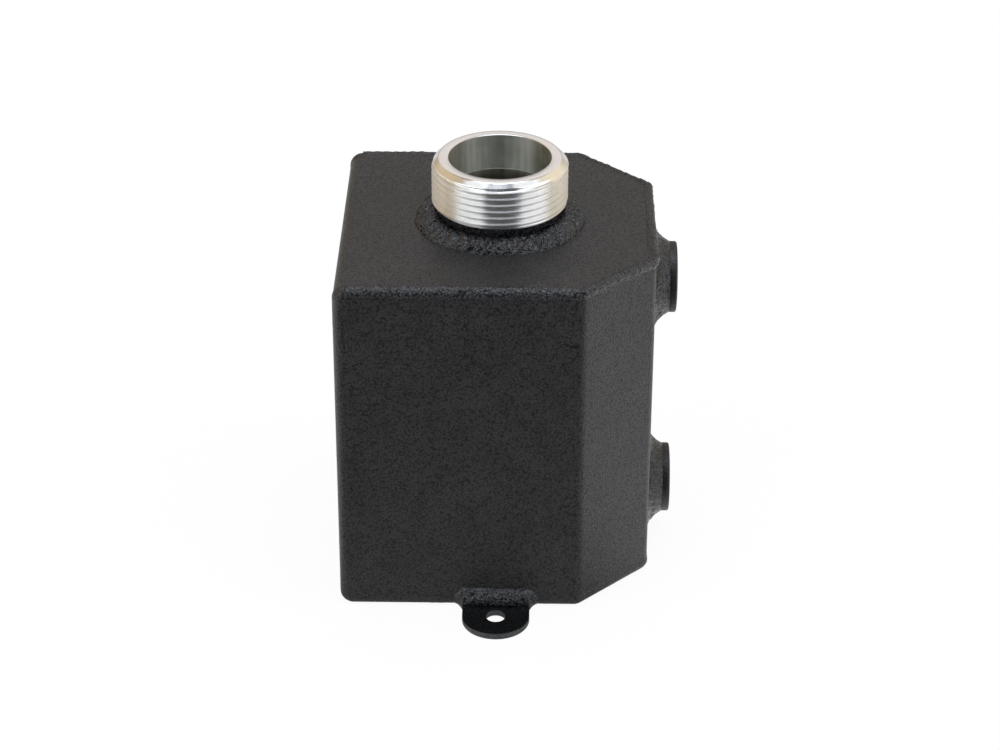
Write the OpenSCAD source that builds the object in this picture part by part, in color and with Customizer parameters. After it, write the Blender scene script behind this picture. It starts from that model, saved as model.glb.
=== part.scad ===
// A welded aluminium coolant tank: one folded channel (top, left wall and base) closed by one
// folded wrap (front, slanted corners, port wall and back), with a threaded filler neck,
// two pipe ports, two mounting tabs and the weld beads that join them.
// X is the width with the ports on its high side, Y the depth with the front at its low side.
// Z is up, and the origin is the middle of the base.

/* [Tank] */
// Width of the tank, from the left wall to the port wall
tank_w = 117; // [100:1:160]
// Depth of the tank, from the front wall to the back wall
tank_d = 117; // [104:1:160]
// Height of the tank, from the base to the top sheet
tank_h = 135.5; // [120:0.5:200]
// How far each slanted corner cuts into the port wall and its neighbour
corner_cut = 26.7; // [14:0.1:30]
// Thickness of the sheet
sheet_t = 2.4; // [1.6:0.1:3]
// Radius inside each fold
bend_r = 2.4; // [2:0.1:4]

/* [Filler neck] */
// Outer diameter of the thread
thread_d = 50.8; // [48:0.1:56]
// Distance from one thread to the next
thread_pitch = 2.54; // [2:0.01:3]
// Depth of the thread
thread_depth = 1.1; // [0.6:0.05:1.3]
// Height of the threaded part
thread_h = 18.2; // [12:0.1:24]
// Diameter of the plain collar under the thread
collar_d = 47.4; // [44:0.1:47.6]
// Height of the plain collar above the top sheet
collar_h = 7.3; // [6:0.1:16]
// Diameter of the bore
neck_bore_d = 38.2; // [30:0.1:40]
// Depth of the bore down to the seat inside it
neck_seat_depth = 13.8; // [6:0.1:20]
// Width of the seat inside the bore
neck_seat_w = 0.6; // [0.3:0.1:2]
// Width of the flat rim round the mouth
neck_rim_w = 3.7; // [2:0.1:4]
// How far the neck sits from the tank's middle, towards the ports
neck_x = 0.7; // [-8:0.1:8]

/* [Ports] */
// Outer diameter of a port
port_d = 26.9; // [25:0.1:32]
// How far a port stands out of its wall
port_reach = 9; // [8:0.5:20]
// Diameter of the port's bore, before its thread is cut
port_bore_d = 18.3; // [12:0.1:19]
// Distance from the top of the tank to the side of the upper port
port_top_margin = 10.5; // [8:0.1:20]
// Distance from the base of the tank to the side of the lower port
port_base_margin = 9.2; // [8:0.1:20]

/* [Tabs] */
// Width of a tab
tab_w = 25.4; // [20:0.1:40]
// How far a tab stands out of the tank
tab_reach = 22.1; // [18:0.1:40]
// Diameter of the bolt hole
hole_d = 7.2; // [4:0.1:9]
// Distance from the tank to the middle of the bolt hole
hole_reach = 10; // [9:0.1:13]
// How far the tabs sit from the tank's middle, towards the ports
tab_x = 0.5; // [-20:0.1:10]

/* [Welds] */
// How far a seam's bead spreads onto each sheet, past its own rounding
seam_toe = 0.6; // [0.3:0.1:0.8]
// Distance from one ripple of a seam to the next
seam_ripple = 4.2; // [3:0.1:6]
// Distance from one ripple of a neck, port or tab weld to the next
ring_ripple = 3.4; // [3:0.1:6]
// Height of a ripple
ripple_h = 0.2; // [0.1:0.05:0.3]
// Width of the neck's weld on the top sheet
neck_weld_w = 7.3; // [3:0.1:9]
// Height of the neck's weld on the collar
neck_weld_h = 4; // [2:0.1:5]
// How far the neck's weld bulges
neck_weld_bulge = 0.9; // [0:0.1:1.5]
// Width of a port's weld on the wall
port_weld_w = 7.4; // [3:0.1:9]
// Height of a port's weld on the port
port_weld_h = 5.6; // [3:0.1:7]
// How far a port's weld is hollowed
port_weld_hollow = 1.5; // [0:0.1:1.7]
// Height of a tab's weld on the wall above the tab
tab_weld_h = 6; // [4:0.1:9]
// Width of a tab's weld on the tab
tab_weld_w = 3.2; // [2:0.1:4]
// How far a tab's weld runs past each side of the tab
tab_weld_over = 4; // [2:0.1:6]

/* [Hidden] */
$fn = 96;

coat = [0.16, 0.16, 0.17];
bead_coat = [0.22, 0.22, 0.24];
bare_metal = [0.82, 0.82, 0.8];

// Clearances between pieces that fit into each other
fit_gap = 0.1;
bead_gap = 0.05;

// How far a cutting shape runs past the faces that it cuts
cut_over = 1;

fold_r = bend_r + sheet_t;
half_w = tank_w / 2;
half_d = tank_d / 2;
slant_fold = 45;
fold_steps = 6;

// Filler neck
thread_r = thread_d / 2;
collar_r = collar_d / 2;
neck_bore_r = neck_bore_d / 2;
neck_throat_r = neck_bore_r - neck_seat_w;
neck_spigot_r = (collar_r + neck_bore_r) / 2;
neck_h = collar_h + thread_h;
thread_lead_in = 1.45;
thread_root_flat = 0.2;
thread_groove_w = thread_root_flat + 2 * thread_depth * tan(30);
thread_edge = 0.5;

// Ports
port_r = port_d / 2;
port_bore_r = port_bore_d / 2;
port_spigot_r = (port_r + port_bore_r) / 2;
port_mouth = 1.2;
port_edge = 0.5;
port_z_low = port_base_margin + port_r;
port_z_high = tank_h - port_top_margin - port_r;

// Seams: the bead is a rounded ridge over two sheet edges that meet corner to corner
seam_round = 1.5 * sheet_t;
seam_proud = 0.35;
seam_leg = seam_round + seam_toe;
seam_over_r = seam_round + seam_proud + ripple_h + bead_gap;

// Heights of the rings in one ripple, as shares of its full height
seam_wave = [0, 1];
ring_wave = [0, 1, 0.5];
lead_share = 0.35;
// Where the points between a bead's two edges lie, as shares of the way
bead_arc = [0.2, 0.5, 0.82];

// A tab's weld runs down beside the tab to its foot, and tapers towards its ends, where it is
// a skin over the seam's bead
tab_weld_foot = 0.4;
tab_weld_taper = 0.6;
tab_weld_end = 0.25;
tab_weld_skin = 0.3;
tab_weld_bulge = 1;

// Sheet metal

// The folds of the wrap seen from above, each [axis, start angle, end angle], front to rear
function wrap_folds() =
  let (
    low = [half_w - corner_cut, -half_d] + fold_axis(-90),
    high = [half_w, corner_cut - half_d] + fold_axis(-45)
  )
  [
    [low, -90, -45], [high, -45, 0],
    [[high.x, -high.y], 0, 45], [[low.x, -low.y], 45, 90]
  ];

// From an outer corner to the axis of its fold, for a fold that turns from the angle start
function fold_axis(start) =
  let (middle = start + slant_fold / 2)
  -fold_r / cos(slant_fold / 2) * [cos(middle), sin(middle)];

// The points of one face of the wrap, at the distance r from the axes of its folds, between
// two ends at the place left in X
function wrap_face(r, left) = concat(
  [[left, fold_r - half_d - r]],
  [
    for (fold = wrap_folds(), i = [0 : fold_steps])
      let (angle = fold[1] + (fold[2] - fold[1]) * i / fold_steps)
      fold[0] + r * [cos(angle), sin(angle)]
  ],
  [[left, half_d - fold_r + r]]
);

function reversed(list) = [for (i = [len(list) - 1 : -1 : 0]) list[i]];

// What one face of the channel holds, seen from the front, at the distance r from the axes
// of its two folds. It is open on the side of the ports.
module channel_face(r) {
  inset = fold_r - r;
  translate([fold_r - half_w, inset])
    square([tank_w, tank_h - 2 * inset]);
  translate([inset - half_w, fold_r])
    square([2 * r, tank_h - 2 * fold_r]);
  for (z = [fold_r, tank_h - fold_r])
    translate([fold_r - half_w, z])
      circle(r = r);
}

module along_depth() {
  depth = tank_d + 2 * cut_over;
  translate([0, depth / 2, 0])
    rotate([90, 0, 0])
      linear_extrude(depth)
        children();
}

module top_base_channel() {
  color(coat)
    difference() {
      intersection() {
        along_depth()
          difference() {
            channel_face(fold_r);
            channel_face(bend_r);
          }
        linear_extrude(tank_h)
          polygon(wrap_face(bend_r, -half_w));
      }
      translate([neck_x, 0, tank_h - sheet_t - cut_over])
        cylinder(h = sheet_t + 2 * cut_over, r = neck_spigot_r + fit_gap);
    }
}

module side_wrap() {
  left = sheet_t - half_w;
  color(coat)
    difference() {
      intersection() {
        linear_extrude(tank_h)
          polygon(concat(wrap_face(fold_r, left), reversed(wrap_face(bend_r, left))));
        along_depth()
          channel_face(bend_r);
      }
      for (z = [port_z_low, port_z_high])
        translate([half_w - sheet_t - cut_over, 0, z])
          rotate([0, 90, 0])
            cylinder(h = sheet_t + 2 * cut_over, r = port_spigot_r + fit_gap);
    }
}

// Filler neck: turned in one piece, with its spigot in the top sheet's hole

module neck_blank() {
  rotate_extrude()
    polygon([
      [neck_throat_r, -sheet_t], [neck_spigot_r, -sheet_t], [neck_spigot_r, 0],
      [collar_r, 0], [collar_r, collar_h], [thread_r - thread_edge, collar_h],
      [thread_r, collar_h + thread_edge],
      [thread_r, neck_h + neck_bore_r + neck_rim_w - thread_r],
      [neck_bore_r + neck_rim_w, neck_h], [neck_bore_r, neck_h],
      [neck_bore_r, neck_h - neck_seat_depth], [neck_throat_r, neck_h - neck_seat_depth]
    ]);
}

module thread_groove() {
  outside = thread_r + cut_over;
  slope = tan(30) * (outside - thread_r);
  rotate_extrude()
    polygon([
      [thread_r - thread_depth, -thread_root_flat / 2],
      [outside, -thread_groove_w / 2 - slope],
      [outside, thread_groove_w / 2 + slope],
      [thread_r - thread_depth, thread_root_flat / 2]
    ]);
}

module filler_neck() {
  color(bare_metal)
    translate([neck_x, 0, tank_h])
      difference() {
        neck_blank();
        for (z = [collar_h + thread_lead_in : thread_pitch : neck_h - thread_depth])
          translate([0, 0, z])
            thread_groove();
      }
}

// A port: a turned ring whose spigot sits in the port wall's hole
module port(z) {
  color(coat)
    translate([half_w, 0, z])
      rotate([0, 90, 0])
        rotate_extrude()
          polygon([
            [port_bore_r, -sheet_t], [port_spigot_r, -sheet_t], [port_spigot_r, 0],
            [port_r, 0], [port_r, port_reach - port_edge], [port_r - port_edge, port_reach],
            [port_bore_r + port_mouth, port_reach], [port_bore_r, port_reach - port_mouth]
          ]);
}

module upper_port() {
  port(port_z_high);
}

module lower_port() {
  port(port_z_low);
}

// A tab of the same sheet, flush with the base and hollowed to lie against the seam's bead
module tab() {
  end_y = tab_w / 2 - half_d - tab_reach;
  root_y = seam_round - half_d;
  color(coat)
    difference() {
      union() {
        translate([tab_x - tab_w / 2, end_y, 0])
          cube([tab_w, root_y - end_y, sheet_t]);
        translate([tab_x, end_y, 0])
          cylinder(h = sheet_t, r = tab_w / 2);
      }
      translate([tab_x, -half_d - hole_reach, -cut_over])
        cylinder(h = sheet_t + 2 * cut_over, r = hole_d / 2);
      translate([tab_x - tab_w, root_y, seam_round])
        rotate([0, 90, 0])
          cylinder(h = 2 * tab_w, r = seam_over_r);
      translate([tab_x - tab_w, root_y, -cut_over])
        cube([2 * tab_w, tab_w, sheet_t + 2 * cut_over]);
    }
}

module front_tab() {
  tab();
}

module rear_tab() {
  mirror([0, 1, 0])
    tab();
}

// Weld beads: rings of points that follow a route, with every other ring on a ripple's crest.
// A route is a list of stops [distance, centre x, centre y, angle]. Between two stops the
// centre moves on a straight line or the angle turns, as the edge of a folded sheet does.

function stop_column(route, i) = [for (stop = route) [stop[0], stop[i]]];

// A point beside a route. Round a fold it stands out a little further, so that the flats
// between points one step apart clear the fold.
function route_point(route, s, reach, step) =
  let (
    angles = stop_column(route, 3),
    angle = lookup(s, angles),
    turn = lookup(s + step / 2, angles) - lookup(s - step / 2, angles)
  )
  [lookup(s, stop_column(route, 1)), lookup(s, stop_column(route, 2))]
    + reach / cos(turn / 2) * [cos(angle), sin(angle)];

// Adds up the stops of a route from its folds, each [centre, start angle, end angle]
function route_stops(folds, i = 0, s = 0) =
  i == len(folds) ? [] :
  let (
    fold = folds[i],
    start = s + (i == 0 ? 0 : norm(fold[0] - folds[i - 1][0])),
    end = start + fold_r * (fold[2] - fold[1]) * PI / 180,
    first = [start, fold[0].x, fold[0].y, fold[1]],
    last = [end, fold[0].x, fold[0].y, fold[2]]
  )
  concat(end > start ? [first, last] : [first], route_stops(folds, i + 1, end));

function route_length(route) = route[len(route) - 1][0];

// How many rings a bead of this length needs to hold whole ripples
function ring_count(length, pitch, wave) = len(wave) * max(1, round(length / pitch));

// The solid between rings of points. The caps are the convex faces, as places in a ring,
// that close its two ends. With none it closes on itself.
module loft(rings, caps = []) {
  m = len(rings[0]);
  n = len(rings);
  last = len(caps) > 0 ? n - 2 : n - 1;
  sides = [
    for (i = [0 : last], k = [0 : m - 1])
      let (
        a = i * m + k,
        b = i * m + (k + 1) % m,
        c = (i + 1) % n * m + (k + 1) % m,
        d = (i + 1) % n * m + k
      )
      each [[a, b, c], [a, c, d]]
  ];
  ends = [
    for (cap = caps)
      each [reversed(cap), [for (k = cap) (n - 1) * m + k]]
  ];
  polyhedron(points = [for (ring = rings) each ring], faces = concat(sides, ends));
}

// Points [across, up, lead] of a seam's bead, from the corner where the two sheets meet.
// Across 0 is the wrap's outer face, and up 0 is the channel's. The lead, as a share of the
// most, runs the middle of a ripple ahead of its ends, so that it lies as a crescent across
// the bead. A dressed bead stops at the channel's face.
function seam_section(wave, dressed) =
  let (
    r = seam_round + seam_proud + wave * ripple_h,
    side = sqrt(pow(r, 2) - pow(seam_round - sheet_t, 2)) - seam_round,
    middle = r * cos(45) - seam_round,
    cut = sqrt(pow(r, 2) - pow(seam_round, 2)) - seam_round
  )
  concat(
    [
      [-sheet_t, -sheet_t, 0], [0, -sheet_t, 0], [0, -seam_leg, 0],
      [side, -sheet_t, 0.5], [middle, middle, 1]
    ],
    dressed ? [[cut, 0, 0.5]] : [[-sheet_t, side, 0.5], [-seam_leg, 0, 0]],
    [[-sheet_t, 0, 0]]
  );

function seam_caps(dressed) =
  dressed ? concat([[1, 2, 3]], fan([4, 5, 6, 0, 1, 3]))
    : concat([[1, 2, 3], [5, 6, 7]], fan([4, 5, 7, 0, 1, 3]));

// The triangles of a convex face, all from its first point
function fan(face) = [for (k = [1 : len(face) - 2]) [face[0], face[k], face[k + 1]]];

function seam_rings(route, dressed) =
  let (
    length = route_length(route),
    count = ring_count(length, seam_ripple, seam_wave),
    step = length / count
  )
  [
    for (i = [0 : count])
      let (ahead = i == 0 || i == count ? 0 : lead_share * seam_ripple)
      [
        for (p = seam_section(seam_wave[i % len(seam_wave)], dressed))
          let (xy = route_point(route, i * step + p[2] * ahead, fold_r + p[0], step))
          [xy.x, xy.y, p[1]]
      ]
  ];

module seam(route, dressed = false) {
  loft(seam_rings(route, dressed), seam_caps(dressed));
}

// The edge where the wrap meets the top sheet, from the front left to the rear left
function plan_folds() = concat(
  [[[fold_r - half_w, fold_r - half_d], -90, -90]],
  wrap_folds(),
  [[[fold_r - half_w, half_d - fold_r], 90, 90]]
);

module top_seam_weld() {
  color(bead_coat)
    translate([0, 0, tank_h])
      seam(route_stops(plan_folds()));
}

// The same bead along the base, dressed flat underneath so that the tank stands on its base
module base_seam_weld() {
  color(bead_coat)
    mirror([0, 0, 1])
      seam(route_stops(plan_folds()), dressed = true);
}

// The bead down the left edge of the front wall, round both folds of the channel, and
// dressed flat under the base
module upright_seam() {
  folds = [
    [[fold_r - half_w, tank_h - fold_r], 90, 180],
    [[fold_r - half_w, fold_r], 180, 270]
  ];
  color(bead_coat)
    difference() {
      rotate([90, 0, 0])
        translate([0, 0, half_d])
          seam(route_stops(folds));
      translate([-tank_w, -tank_d, -sheet_t])
        cube([tank_w, tank_d, sheet_t]);
    }
}

module front_seam_weld() {
  upright_seam();
}

module rear_seam_weld() {
  mirror([0, 1, 0])
    upright_seam();
}

// Points [out, up, lead] of a bead in the corner between a ring's side and its sheet.
// The bulge is how far its middle stands out of the straight line between its edges.
function corner_section(width, height, bulge, wave) =
  let (
    out = [height, width] / norm([height, width]),
    rise = bulge + wave * ripple_h
  )
  concat(
    [[0, 0, 0], [width, 0, 0]],
    [
      for (t = bead_arc)
        let (
          swell = 4 * t * (1 - t),
          p = [width * (1 - t), height * t] + swell * rise * out
        )
        [p.x, p.y, swell]
    ],
    [[0, height, 0]]
  );

// The rooms are how far the bead may reach along X to either side, where it then ends straight
module ring_weld(r, width, height, bulge, low_room, high_room) {
  length = 2 * PI * (r + width / 2);
  count = ring_count(length, ring_ripple, ring_wave);
  // The inner face is made of flats, so its corners stand clear of the round side
  inner_r = r / cos(180 / count);
  color(bead_coat)
    loft(
      [
        for (i = [0 : count - 1])
          let (
            share = cos(360 * i / count),
            room = (share > 0 ? high_room : low_room) / max(0.01, abs(share)),
            w = min(width, room - inner_r)
          )
          [
            for (p = corner_section(w, height, bulge, ring_wave[i % len(ring_wave)]))
              let (
                lead = lead_share * ring_ripple * p[2],
                angle = 360 * (i / count + lead / length)
              )
              [(inner_r + p[0]) * cos(angle), (inner_r + p[0]) * sin(angle), p[1]]
          ]
      ]
    );
}

module neck_weld() {
  translate([neck_x, 0, tank_h])
    ring_weld(collar_r, neck_weld_w, neck_weld_h, neck_weld_bulge, half_w, half_w);
}

// A port's weld ends straight where it meets the bead of the top or the base
module port_weld(z) {
  seam_edge = seam_leg + bead_gap;
  translate([half_w, 0, z])
    rotate([0, 90, 0])
      ring_weld(
        port_r, port_weld_w, port_weld_h, -port_weld_hollow,
        low_room = tank_h - seam_edge - z, high_room = z - seam_edge
      );
}

module upper_port_weld() {
  port_weld(port_z_high);
}

module lower_port_weld() {
  port_weld(port_z_low);
}

// Points [out, up] of the bead over a tab's root, out of the wall and up from the base.
// It lies on the wall, then on the seam's bead, and its foot is on the tab or beside it.
// The size is the share of its full height, and the spread that of its width on the tab.
function tab_weld_section(foot, size, spread, wave) =
  let (
    top = sheet_t + tab_weld_h * size,
    low = asin((seam_round - foot) / seam_over_r),
    // The inner face is made of flats, so its corners stand clear of the round bead
    over_r = seam_over_r / cos(low / 4),
    seat = sqrt(pow(over_r, 2) - pow(foot - seam_round, 2)) - seam_round,
    toe = max(0, seat) + tab_weld_w * spread,
    out = [top - foot, toe] / norm([top - foot, toe]),
    rise = spread * (tab_weld_bulge + wave * ripple_h)
  )
  concat(
    [
      [0, top], [0, seam_leg + bead_gap], [over_r - seam_round, seam_round],
      [over_r * cos(low / 2) - seam_round, seam_round - over_r * sin(low / 2)],
      [seat, foot], [toe, foot]
    ],
    [
      for (t = bead_arc)
        let (p = [toe * (1 - t), foot * (1 - t) + top * t] + 4 * t * (1 - t) * rise * out)
        clear_of_seam(p, over_r + tab_weld_skin)
    ]
  );

// Moves a point out of the round that lies over the seam's bead
function clear_of_seam(p, r) =
  let (from_axis = p + [seam_round, -seam_round])
  norm(from_axis) < r ? from_axis * r / norm(from_axis) - [seam_round, -seam_round] : p;

module tab_weld() {
  side = tab_w / 2;
  count = ring_count(tab_w, ring_ripple, ring_wave);
  end_count = 4;
  step = 0.02;
  ends = [for (i = [0 : end_count]) side + step + tab_weld_over * i / end_count];
  places = concat(
    -reversed(ends),
    [for (i = [0 : count]) tab_w * i / count - side],
    ends
  );
  color(bead_coat)
    loft(
      [
        for (i = [0 : len(places) - 1])
          let (
            x = places[i],
            past = max(0, abs(x) - side) / (tab_weld_over + step),
            foot = past > 0 ? tab_weld_foot : sheet_t,
            size = 1 - tab_weld_taper * pow(past, 2),
            spread = tab_weld_end + (1 - tab_weld_end) * pow(1 - past, 1.5)
          )
          [
            for (p = tab_weld_section(foot, size, spread, ring_wave[i % len(ring_wave)]))
              [tab_x + x, -half_d - p[0], p[1]]
          ]
      ],
      caps = [[8, 0, 1], [8, 1, 2], [7, 8, 2], [7, 2, 3], [6, 7, 3], [6, 3, 4], [6, 4, 5]]
    );
}

module front_tab_weld() {
  tab_weld();
}

module rear_tab_weld() {
  mirror([0, 1, 0])
    tab_weld();
}

top_base_channel();
side_wrap();
filler_neck();
upper_port();
lower_port();
front_tab();
rear_tab();
top_seam_weld();
base_seam_weld();
front_seam_weld();
rear_seam_weld();
neck_weld();
upper_port_weld();
lower_port_weld();
front_tab_weld();
rear_tab_weld();
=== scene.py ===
import math

import bmesh
import bpy
import numpy as np
from mathutils import Matrix, Vector, noise


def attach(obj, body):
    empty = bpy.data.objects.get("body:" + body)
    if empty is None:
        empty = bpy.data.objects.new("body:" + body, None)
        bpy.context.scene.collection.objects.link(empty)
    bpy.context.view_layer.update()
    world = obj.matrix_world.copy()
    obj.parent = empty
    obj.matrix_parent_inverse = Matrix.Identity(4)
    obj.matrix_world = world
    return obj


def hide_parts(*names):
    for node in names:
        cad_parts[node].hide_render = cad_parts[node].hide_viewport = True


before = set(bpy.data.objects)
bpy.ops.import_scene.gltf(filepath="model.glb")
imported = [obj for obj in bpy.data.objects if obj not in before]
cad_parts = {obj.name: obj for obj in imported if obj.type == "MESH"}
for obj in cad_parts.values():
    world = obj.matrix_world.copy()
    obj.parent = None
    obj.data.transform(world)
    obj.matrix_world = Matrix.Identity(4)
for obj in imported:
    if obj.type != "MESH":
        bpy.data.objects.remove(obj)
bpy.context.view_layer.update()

MM = 0.001

# Sizes of the tank in millimetres, as in the part's source

TANK_W = 117.0
TANK_D = 117.0
TANK_H = 135.5
CORNER_CUT = 26.7
SHEET_T = 2.4
FOLD_R = 4.8
HALF_W = TANK_W / 2
HALF_D = TANK_D / 2

# The seams' beads: depth of their middle, the room that one takes up on a face, and the
# radius of what goes round one
SEAM_ROUND = 1.5 * SHEET_T
SEAM_EDGE = 4.25
SEAM_OVER_R = 4.22

NECK_X = 0.7
THREAD_R = 25.4
THREAD_PITCH = 2.54
THREAD_DEPTH = 0.95
THREAD_LEAD_IN = 1.455
COLLAR_R = 23.7
COLLAR_H = 7.3
NECK_H = 25.5
NECK_BORE_R = 19.1
NECK_THROAT_R = 18.5
NECK_SEAT_DEPTH = 13.8
NECK_SPIGOT_R = 21.4
RIM_R = 22.8

PORT_R = 13.45
PORT_BORE_R = 9.15
PORT_SPIGOT_R = 11.3
PORT_REACH = 9.0
PORT_Z = {"upper_port": 111.55, "lower_port": 22.65}

TAB_X = 0.5
TAB_W = 25.4
TAB_REACH = 22.1
HOLE_R = 3.6
HOLE_REACH = 10.0


def neck_place(x, y, z):
    """From the neck's axis and foot to the tank."""
    return NECK_X + x, y, TANK_H + z


def port_place(node):
    """The function that leads from a port's axis and foot to the tank."""
    return lambda x, y, z: (HALF_W + z, y, PORT_Z[node] + x)


# Meshes

MERGE_DISTANCE = 2e-6
LEAST_EDGE = 1e-6


def new_piece(name, verts, faces, replaces):
    """A piece with its points in millimetres, in place of a node of the part."""
    mesh = bpy.data.meshes.new(name)
    mesh.from_pydata([tuple(c * MM for c in v) for v in verts], [], faces)
    bm = bmesh.new()
    bm.from_mesh(mesh)
    bmesh.ops.remove_doubles(bm, verts=bm.verts, dist=MERGE_DISTANCE)
    bmesh.ops.dissolve_degenerate(bm, edges=bm.edges, dist=LEAST_EDGE)
    bmesh.ops.recalc_face_normals(bm, faces=bm.faces)
    for face in bm.faces:
        face.smooth = True
    bm.to_mesh(mesh)
    bm.free()
    piece = bpy.data.objects.new(name, mesh)
    bpy.context.scene.collection.objects.link(piece)
    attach(piece, "root")
    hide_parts(replaces)
    return piece


def ring_faces(rings, closed_path, closed_section=True):
    """The points of rings of equal length, and the quads between the rings."""
    count = len(rings)
    size = len(rings[0])
    verts = [point for ring in rings for point in ring]
    faces = []
    for i in range(count if closed_path else count - 1):
        here = i * size
        there = (i + 1) % count * size
        for k in range(size if closed_section else size - 1):
            after = (k + 1) % size
            faces.append((here + k, here + after, there + after, there + k))
    return verts, faces


def cap_ends(faces, count, size):
    faces.append(tuple(range(size))[::-1])
    faces.append(tuple(range((count - 1) * size, count * size)))


def joined(first, second):
    """Two meshes of points and faces as one."""
    verts, faces = first
    more_verts, more_faces = second
    moved = [tuple(len(verts) + v for v in face) for face in more_faces]
    return verts + more_verts, faces + moved


def turned(profile, columns, place):
    """A profile of [radius, height] points turned round its axis."""
    rings = []
    for i in range(columns):
        a = 2 * math.pi * i / columns
        rings.append([place(r * math.cos(a), r * math.sin(a), z) for r, z in profile])
    return ring_faces(rings, True, closed_section=False)


# Noise

# Lengths of a bead's swells and grains, height of the grains against the swells
SWELLS = 2.6
GRAINS = 1.1
GRAIN_SHARE = 0.8

# Added to a bead's seed, so that each of its noises has a pattern of its own
GRAIN_SEED = 7
WIDTH_SEED = 4
EDGE_SEED = 3
WOBBLE_SEED = 2

# How far a seed moves the noise up, against across
SEED_LIFT = 0.37


def smooth_noise(x, y, z, scale, seed):
    """Smooth noise between -1 and 1 whose waves are about this long."""
    return noise.noise(Vector((x / scale + seed, y / scale - seed, z / scale + SEED_LIFT * seed)))


def bead_lump(x, y, z, seed):
    """Uneven metal of a bead: broad swells with small grains on them."""
    grains = smooth_noise(x, y, z, GRAINS, seed + GRAIN_SEED)
    return smooth_noise(x, y, z, SWELLS, seed) + GRAIN_SHARE * grains


# Ripples of the weld beads

# Over 1, the first makes the rise slower than the fall and the second narrows the crest
RIPPLE_SKEW = 1.35
RIPPLE_CREST = 1.2

# Height of the ripples, and the most that chance adds to it or takes from it
RIPPLE_HEIGHT = 0.75
RIPPLE_CHANCE = 0.5

# Where the noise that varies the ripples is read: step from ripple to ripple and with the seed
CELL_STEP = 1.7
CELL_SEED_STEP = 13.1
CELL_LEVEL = 0.5

# More ripples than an open bead has
ENDLESS = 10 ** 6

# How the pitch wanders: [waves along the bead, share of a pitch, how the seed shifts them]
WANDER = ((3, 0.35, 1.0), (7, 0.25, 2.3))


def ripple(u):
    """One ripple of a bead from 0 to 1: a slow rise and a quicker fall."""
    u = u % 1.0
    return math.sin(math.pi * u ** RIPPLE_SKEW) ** RIPPLE_CREST


class Ripples:
    """The ripples along a bead, which differ in height and wander from an even pitch."""

    def __init__(self, length, pitch, seed, closed=False):
        self.count = round(length / pitch)
        self.length = length
        self.seed = seed
        self.repeat = self.count if closed else ENDLESS

    def height(self, s, lead):
        """Their height at this distance, with the ripples ahead by this share of a pitch."""
        u = s / self.length
        wander = sum(share * math.sin(2 * math.pi * (waves * u + shift * self.seed))
                     for waves, share, shift in WANDER)
        at = self.count * u + wander - lead
        index = math.floor(at) % self.repeat
        cell = Vector((index * CELL_STEP, self.seed * CELL_SEED_STEP, CELL_LEVEL))
        return ripple(at) * (RIPPLE_HEIGHT + RIPPLE_CHANCE * noise.cell(cell))


# Beads along the seams

SECTION_POINTS = 19

# How far the root of a bead lies inside the sheets' faces
BEAD_ROOT = 0.3
DRESSED_ROOT = 0.02

# Across a bead its lumps are read as if it was this large
LUMP_SPREAD = 9

# The step from ring to ring, the ripples' pitch, and how many pitches a ripple's middle
# runs ahead of its ends
SEAM_STEP = 0.4
SEAM_PITCH = 4.1
SEAM_LEAD = 0.4

# Its toes dip under the faces, it covers the sheets' edges, and it gets wider and narrower
SEAM_TOE_DEPTH = 0.2
SEAM_COVER = 0.06
SEAM_SWELL = 0.12
SEAM_SWELL_LENGTH = 11.0

# A bead with its crest at the outer edge: degrees round its middle, change of its radius
RIDGE = ((-60, 0.0), (5, 0.05), (48, 0.9), (90, -0.45), (112, -0.55), (143, -0.3))

# Half of what the wrap turns at a fold, in degrees
HALF_FOLD = 22.5


def fold_centre(x, y, facing):
    """The middle of a fold between faces that would meet at x, y."""
    off = FOLD_R / math.cos(math.radians(HALF_FOLD))
    a = math.radians(facing)
    return x - off * math.cos(a), y - off * math.sin(a)


def wrap_folds():
    """The wrap's folds from front to back: [middle, angle where it starts, where it ends]."""
    front = fold_centre(HALF_W - CORNER_CUT, -HALF_D, HALF_FOLD - 90)
    right = fold_centre(HALF_W, CORNER_CUT - HALF_D, -HALF_FOLD)
    return [
        (front, -90, -45), (right, -45, 0),
        ((right[0], -right[1]), 0, 45), ((front[0], -front[1]), 45, 90),
    ]


def route_stops(folds):
    """Stops [distance, centre x, centre y, angle] along the outer edge of a folded sheet."""
    stops = []
    s = 0.0
    last = None
    for centre, start, end in folds:
        if last is not None:
            s += math.dist(centre, last)
        stops.append((s, centre[0], centre[1], start))
        if end != start:
            s += FOLD_R * math.radians(end - start)
            stops.append((s, centre[0], centre[1], end))
        last = centre
    return np.array(stops)


def route_frame(stops, s):
    x, y, angle = (np.interp(s, stops[:, 0], stops[:, i]) for i in (1, 2, 3))
    return x, y, math.radians(angle)


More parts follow.
